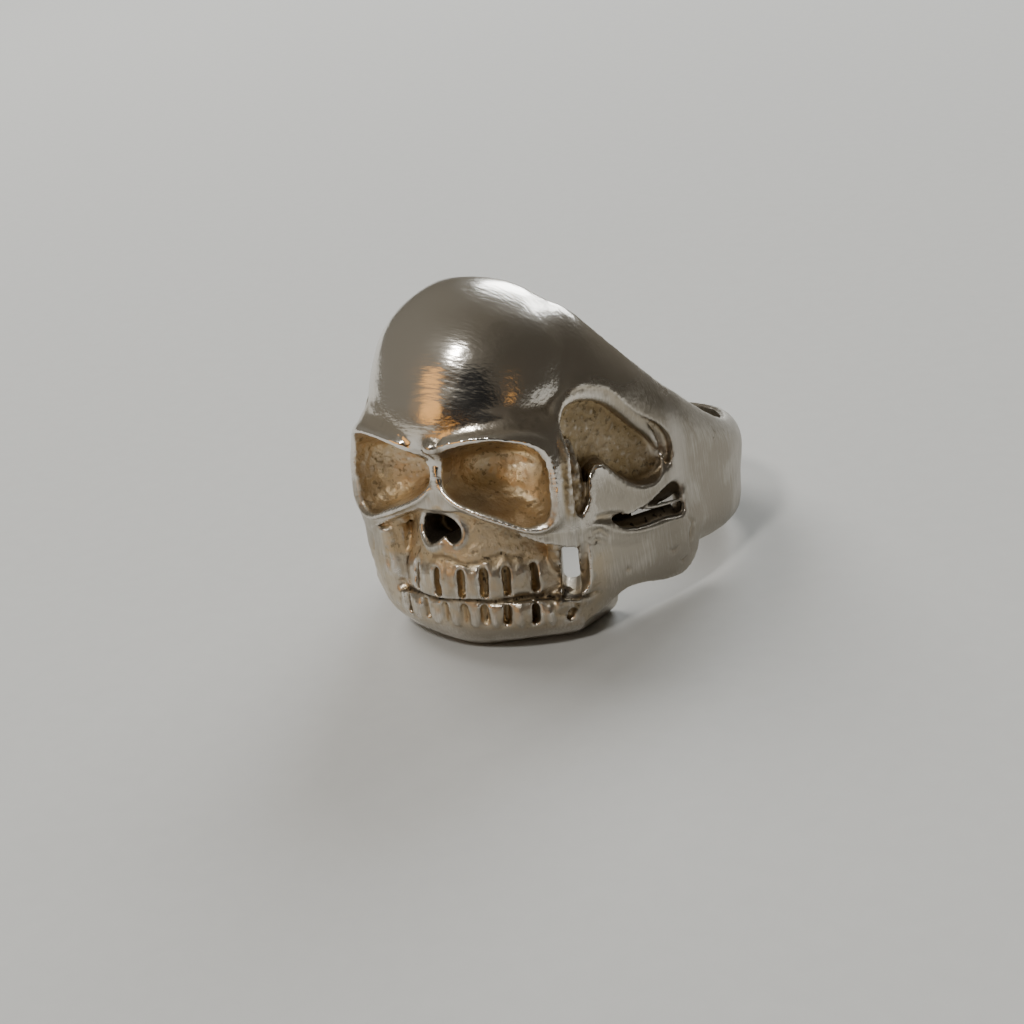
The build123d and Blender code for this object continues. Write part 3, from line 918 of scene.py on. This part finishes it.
def head_zones(x, y, z, angle):
    """Sockets, temple hollows, boss and polished parts."""
    side = np.abs(x)
    socket_depth = depth_inside(rounded(SOCKET_EDGE), side, z)
    temple_edge = [(a * MM_PER_DEGREE, level) for a, level in rounded(TEMPLE_EDGE)]
    temple_depth = depth_inside(temple_edge, angle * MM_PER_DEGREE, z)
    temple = fade("temple_in", temple_depth)
    ledge_off, _ = distance_to(np.stack([side, y, z], axis=1), polar_rows(TEMPLE_LEDGE))
    ledge = 1 - fade("ledge_off", ledge_off)
    boss_x, boss_z, boss_half = BOSS
    boss = 1 - ramp(np.hypot(x - boss_x, z - boss_z), boss_half, BOSS_PATCH * boss_half)
    boss = boss * (y < FOREHEAD_Y)

    dome = fade("dome_high", z) * fade("dome_front", -y)
    band = fade("band_turn", angle) * (np.hypot(x, y) > HOLE_RADIUS)
    polished = np.maximum.reduce([dome, fade("shoulder_high", z), band])
    polished *= 1 - fade("temple_near", temple_depth)
    polished *= 1 - fade("side_low", -z) * (1 - fade("side_end_turn", angle))
    rim = fade("socket_rim_out", -socket_depth) * (1 - fade("socket_rim_end", -socket_depth))
    rim = rim * (z > CHEEK_Z) * (y < FACE_Y)
    polished = np.maximum(polished, rim * RIM_POLISH * (1 - fade("temple_lip", temple_depth)))
    return {
        "socket": fade("socket_in", socket_depth) * (y < SOCKET_Y[1]) * (y > SOCKET_Y[0]),
        "temple": temple * (1 - LEDGE_SHADE * ledge),
        "temple_pits": temple * (1 - LEDGE_PITS * ledge),
        "ledge": ledge * temple,
        "boss": boss,
        "polished": np.clip(polished * (1 - boss), 0, 1),
    }


def jaw_zones(x, y, z, angle):
    """Gum, teeth, the dirt between them, the bite, the chin, which is painted lighter, and the slits."""
    (near_x, near_z), (far_x, far_z) = CHEEK_LINE
    under_bar = near_z + (np.abs(x) - near_x) * (far_z - near_z) / (far_x - near_x) - z
    gum = fade("gum_high", z) * fade("under_bar", under_bar) * fade("gum_front", -y) * (np.abs(x) < GUM_SIDE)
    gum = gum * (1 - fade("nose_out", -depth_inside(rounded(NOSE_EDGE), x, z)))
    gum = gum * (1 - fade("gum_end_turn", -angle * np.sign(x)))

    turn = np.degrees(np.arctan2(x, ARCH_Y - y))
    # Line of the bite: painted shade.
    bite = 1 - fade("bite_off", np.abs(z - bite_height(turn)))
    bite = bite * fade("bite_start_turn", turn)
    bite = bite * (1 - fade("bite_end_turn", turn)) * (np.hypot(x, y - ARCH_Y) > BITE_RADIUS)
    # Furrow along the gum: tarnish and painted shade.
    gum_angles, gum_levels, _ = zip(*GUM_FURROW)
    gum_line = 1 - fade("gum_line_off", np.abs(z - np.interp(turn, gum_angles, gum_levels)))
    gum_line = gum_line * (turn > gum_angles[0]) * (turn < gum_angles[-1]) * (y < ARCH_Y)
    spaces = np.zeros(len(x))
    for level, half, angles in DIRTY_SPACES:
        off = np.min([np.abs(turn - a) for a in angles], axis=0)
        inside = (1 - fade("space_off_turn", off)) * (1 - ramp(np.abs(z - level), half - SPACE_END, half))
        spaces = np.maximum(spaces, inside * (y < ARCH_Y))

    radius = np.hypot(x, y)
    # Slits: tarnish and dust, and painted shade inside them.
    slit_edge = [(a * MM_PER_DEGREE, level) for a, level in SLIT_EDGE]
    slit = fade("slit_in", depth_inside(slit_edge, angle * MM_PER_DEGREE, z))
    slit = slit * fade("slit_sunk", np.interp(angle, *zip(*SIDE_RADIUS)) - radius) * (radius > SLIT_RADIUS)
    return {
        "gum": gum,
        "teeth": fade("teeth_low", -z) * (1 - fade("teeth_end_low", -z)) * fade("teeth_front", -y),
        "spaces": spaces,
        "bite": bite,
        "gum_line": gum_line,
        "chin": fade("chin_low", -z) * fade("chin_front", -y),
        "slit": slit,
    }


def find_zones(points):
    """How much each vertex belongs to each zone of the surface."""
    x, y, z = points.T
    angle = np.degrees(np.arctan2(np.abs(x), -y))
    zones = {**head_zones(x, y, z, angle), **jaw_zones(x, y, z, angle)}
    hollows = np.maximum.reduce([zones["socket"], zones["temple_pits"], zones["gum"] * GUM_PITS])
    zones["hollows"] = np.clip(hollows, 0, 1)
    return zones


def feel_bends(casting, points, normals):
    """How deep each vertex lies in fine hollows and in broad ones, negative on edges."""
    wax = copied(casting)
    wax.vertex_groups.clear()
    depths = []
    for steps in (FINE_STEPS, BROAD_STEPS):
        smooth(wax, steps)
        depths.append(np.einsum("ij,ij->i", read_points(wax) - points, normals))
    bpy.data.objects.remove(wax)
    return depths


def add_up(zones, shares):
    """A layer of wear, tarnish, painted shade or painted light, from its share of each zone."""
    return np.clip(sum(share * zones[name] for name, share in shares.items()), 0, 1)


def store_wear_and_painted_light(casting):
    """Store where tarnish gathers, where edges are rubbed bright, and where shade and light are painted."""
    points = read_points(casting)
    x, y, z = points.T
    angle = np.degrees(np.arctan2(np.abs(x), -y))
    zones = find_zones(points)
    fine, broad = feel_bends(casting, points, read_normals(casting))
    # Fine and broad hollows gather tarnish; the deepest of them also get painted shade.
    for measure, names in (
        (fine, ("crack", "deep_crack")), (-fine, ("edge", "rubbed_edge")),
        (broad, ("recess", "deep_recess")), (-broad, ("proud",)),
    ):
        for name in names:
            zones[name] = fade(name, measure)
    zones["hollow"] = np.maximum.reduce([zones[name] for name in ("socket", "temple", "gum", "slit")])
    # Painted shade over the brow and the foot of the dome.
    zones["valley"] = fade("valley_high", z) * (1 - fade("valley_end_high", z)) * fade("valley_front", -y)
    # Inside the nose opening: painted shade, near-black.
    zones["nose"] = fade("nose_in", depth_inside(rounded(NOSE_EDGE), x, z)) * (y < FACE_Y)
    # The shank's side: painted shade, darkening it.
    zones["shank"] = fade("shank_turn", angle) * (1 - fade("shank_end_high", z))
    bright = zones["polished"] * (1 - fade("bright_end_turn", angle))
    satin = 1 - np.maximum(bright, fade("face_high", z) * fade("face_front", -y))
    bore = (np.hypot(x, y) < HOLE_RADIUS) * 1.0
    layers = {
        "tarnish_and_shade": add_up(zones, TARNISH_AND_SHADE_SHARES) * (1 - BORE_CLEAN * bore),
        "soot_and_shade": add_up(zones, SOOT_AND_SHADE_SHARES) * (1 - bore),
        "rub_and_lit_chin": add_up(zones, RUB_AND_LIT_CHIN_SHARES),
        "satin": np.maximum(satin, zones["boss"]),
        "shade": zones["temple"],
        "dust": add_up(zones, DUST_SHARES),
    }
    for name, values in layers.items():
        layer = casting.data.attributes.new(name, "FLOAT", "POINT")
        layer.data.foreach_set("value", values.astype(np.float32))


class Number:
    """A number that a material works out over the surface."""

    def __init__(self, bench, socket):
        self.bench = bench
        self.socket = socket

    def _do(self, kind, first, second):
        return self.bench.node("ShaderNodeMath", {"operation": kind}, {0: first, 1: second})["Value"]

    def __add__(self, other):
        return self._do("ADD", self, other)

    __radd__ = __add__

    def __sub__(self, other):
        return self._do("SUBTRACT", self, other)

    def __rsub__(self, other):
        return self._do("SUBTRACT", other, self)

    def __mul__(self, other):
        return self._do("MULTIPLY", self, other)

    __rmul__ = __mul__

    def clamp(self):
        return self.bench.node("ShaderNodeClamp", {}, {"Value": self})["Result"]


class Bench:
    """Adds the nodes of one material, or of the room."""

    def __init__(self, tree):
        self.tree = tree

    def node(self, kind, settings, inputs):
        """Add a node, set it, feed its sockets and give its outputs by name."""
        made = self.tree.nodes.new(kind)
        for key, value in settings.items():
            setattr(made, key, value)
        for key, value in inputs.items():
            self.feed(made.inputs[key], value)
        return {out.name: Number(self, out) for out in made.outputs if out.enabled}

    def feed(self, socket, value):
        """Link a worked-out number to a socket, or set the socket."""
        if isinstance(value, Number):
            self.tree.links.new(value.socket, socket)
        else:
            socket.default_value = value

    def vectors(self, kind, first, second):
        """Work out two vectors."""
        return self.node("ShaderNodeVectorMath", {"operation": kind}, {0: first, 1: second})

    def mix(self, factor, first, second):
        """Blend two colours."""
        made = self.tree.nodes.new("ShaderNodeMix")
        made.data_type = "RGBA"
        self.feed(made.inputs["Factor"], factor)
        for socket, value in ((made.inputs[6], first), (made.inputs[7], second)):
            self.feed(socket, value if isinstance(value, Number) else (*value, 1))
        return Number(self, made.outputs[2])

    def layer(self, name):
        """A layer of numbers stored on the mesh."""
        return self.node("ShaderNodeAttribute", {"attribute_name": name}, {})["Fac"]

    def noise(self, place, scale, detail, stretch=None):
        """Cloudy noise about a half, on places stretched along the axes."""
        if stretch:
            place = self.vectors("MULTIPLY", place, stretch)["Vector"]
        inputs = {"Vector": place, "Scale": scale, "Detail": detail}
        return self.node("ShaderNodeTexNoise", {}, inputs)["Fac"]

    def limits(self, value, low, high):
        """0 at low, 1 at high and a smooth step between."""
        inputs = {"Value": value, "From Min": low, "From Max": high}
        return self.node("ShaderNodeMapRange", {"interpolation_type": "SMOOTHSTEP"}, inputs)["Result"]


def new_material(name):
    """A material, a bench for its nodes and its shader."""
    material = bpy.data.materials.new(name)
    material.use_nodes = True
    return material, Bench(material.node_tree), material.node_tree.nodes["Principled BSDF"]


def worn_silver_with_painted_light(sizes):
    """Silver, polished on the crown, brushed and tarnished elsewhere, with painted shade in the deep places
    and painted light on the chin.
    """
    material, bench, shader = new_material("worn_silver_with_painted_light")
    place = bench.node("ShaderNodeTexCoord", {}, {})["Object"]
    layers = ("tarnish_and_shade", "soot_and_shade", "rub_and_lit_chin", "satin", "shade", "dust")
    tarnish_and_shade, soot_and_shade, rub_and_lit_chin, satin, shade, dust = (bench.layer(name) for name in layers)
    cloud, spots, grit, wide, brushed, scuffs = (bench.noise(place, *row) for row in CLOUDS.values())

    # Colour: dulled where it is satin, lighter where rubbed and where light is painted on the chin, brown
    # where it is tarnished and where shade is painted on the brow, near-black where shade is painted in the
    # deepest places, and in specks.
    patchy = (cloud - 0.5) * 1.4 + (wide - 0.5) * 1.2 + brushed - 0.5
    dull = (satin * 0.8 + patchy * satin + 0.1 - rub_and_lit_chin * 0.5).clamp()
    film = (tarnish_and_shade + (cloud - 0.5) * 0.5 * tarnish_and_shade).clamp()
    metal = bench.mix(dull, sizes.silver, sizes.dulled)
    brown = bench.mix((shade * 0.8 + (cloud - 0.5) * 0.8).clamp(), sizes.tarnish_and_shade, sizes.umber)
    metal = bench.mix(film, metal, brown)
    specks = bench.limits(spots, 0.58, 0.66) * tarnish_and_shade
    metal = bench.mix((soot_and_shade + specks * 0.45).clamp(), metal, sizes.soot_and_shade)

    # Gloss and fine relief: rougher where it is dirty, brushed where it is satin.
    rough = 0.2 + satin * 0.14 + dust * 0.3 + film * 0.1 + soot_and_shade * 0.2 + (wide - 0.5) * 0.3 - rub_and_lit_chin * 0.1
    marks = brushed * satin * 0.4 + scuffs * 0.5 + spots * tarnish_and_shade * 1.6
    marks = marks + grit * (tarnish_and_shade + satin * 0.3) * 0.6
    relief = {"Strength": BUMP_STRENGTH, "Distance": BUMP_HEIGHT, "Height": marks}
    bench.feed(shader.inputs["Base Color"], metal)
    bench.feed(shader.inputs["Roughness"], rough.clamp())
    bench.feed(shader.inputs["Normal"], bench.node("ShaderNodeBump", {}, relief)["Normal"])
    shader.inputs["Metallic"].default_value = 1.0
    return material


def pale_paper(sizes):
    """A matt floor with faint grain."""
    material, bench, shader = new_material("pale_paper")
    place = bench.node("ShaderNodeTexCoord", {}, {})["Object"]
    dark = [part * PAPER_DARK for part in sizes.paper]
    bench.feed(shader.inputs["Base Color"], bench.mix(bench.noise(place, *PAPER_GRAIN), dark, sizes.paper))
    shader.inputs["Roughness"].default_value = PAPER_ROUGH
    return material


def aim(azimuth, elevation):
    """The way from the ring towards an azimuth from the front and an elevation."""
    a, e = math.radians(azimuth), math.radians(elevation)
    return Vector((math.sin(a) * math.cos(e), -math.cos(a) * math.cos(e), math.sin(e)))


def light_room(world):
    """A dim warm room, lighter at the left and dark low down in front."""
    bench = Bench(world.node_tree)
    way = bench.node("ShaderNodeTexCoord", {}, {})["Generated"]
    room = ROOM
    for azimuth, elevation, low, high, colour in ROOM_PATCHES:
        toward = bench.vectors("DOT_PRODUCT", way, aim(azimuth, elevation))["Value"]
        room = bench.mix(bench.limits(toward, low, high), room, colour)
    backdrop = world.node_tree.nodes["Background"]
    bench.feed(backdrop.inputs["Color"], room)
    backdrop.inputs["Strength"].default_value = 1.0


class OBJECT_OT_ring_stage(bpy.types.Operator):
    """Set the pale floor, the soft lights and the camera"""

    bl_idname = "object.ring_stage"
    bl_label = "Stage"

    def execute(self, context):
        scene = context.scene
        deselect_all()
        bpy.ops.mesh.primitive_plane_add(size=FLOOR_SIZE, location=(0, 0, 0))
        floor = context.object
        floor.name = "floor"
        floor.data.materials.append(pale_paper(scene.ring_sizes))

        world = bpy.data.worlds.new("room")
        scene.world = world
        world.use_nodes = True
        light_room(world)

        for name, (azimuth, elevation, distance, size, power, colour) in LAMPS.items():
            deselect_all()
            back = aim(azimuth, elevation)
            bpy.ops.object.light_add(type="AREA", location=RING_MIDDLE + back * distance)
            lamp = context.object
            lamp.name = name
            lamp.rotation_euler = back.to_track_quat("Z", "Y").to_euler()
            lamp.data.shape = "DISK"
            lamp.data.size = size
            lamp.data.energy = power
            lamp.data.color = colour
            lamp.visible_camera = False
            lamp.visible_glossy = name != FLOOR_ONLY
            lamp.visible_diffuse = not name.startswith(MIRRORED_ONLY)

        azimuth, elevation, roll = CAMERA_TURN
        back = aim(azimuth, elevation)
        side = Vector((math.cos(math.radians(azimuth)), math.sin(math.radians(azimuth)), 0))
        up = back.cross(side)
        turn = Matrix((side, up, back)).transposed() @ Matrix.Rotation(math.radians(roll), 3, "Z")
        place = turn @ Vector(CAMERA_PLACE)
        deselect_all()
        bpy.ops.object.camera_add()
        camera = context.object
        camera.data.lens = CAMERA_LENS
        camera.data.clip_start = CAMERA_CLIP
        axes = Matrix.Rotation(-LEAN, 3, "X") @ turn
        camera.matrix_world = Matrix.Translation(TO_ROW @ place) @ axes.to_4x4()
        scene.camera = camera
        return {"FINISHED"}


class VIEW3D_PT_skull_ring(bpy.types.Panel):
    """Lists the steps that build the ring"""

    bl_label = "Skull ring"
    bl_idname = "VIEW3D_PT_skull_ring"
    bl_space_type = "VIEW_3D"
    bl_region_type = "UI"
    bl_category = "Skull ring"

    def draw(self, context):
        for step in STEPS:
            self.layout.operator(step.bl_idname)


STEPS = (
    OBJECT_OT_ring_casting,
    OBJECT_OT_ring_eyes,
    OBJECT_OT_ring_teeth,
    OBJECT_OT_ring_temples,
    OBJECT_OT_ring_jaw,
    OBJECT_OT_ring_fuse,
    OBJECT_OT_ring_finish,
    OBJECT_OT_ring_stage,
)
CLASSES = (RingSizes, *STEPS, VIEW3D_PT_skull_ring)


def register():
    for cls in CLASSES:
        bpy.utils.register_class(cls)
    bpy.types.Scene.ring_sizes = PointerProperty(type=RingSizes)


def unregister():
    del bpy.types.Scene.ring_sizes
    for cls in reversed(CLASSES):
        bpy.utils.unregister_class(cls)


def main():
    """Build the ring step by step."""
    register()
    for step in STEPS:
        area, name = step.bl_idname.split(".")
        getattr(getattr(bpy.ops, area), name)()


if __name__ == "__main__":
    main()
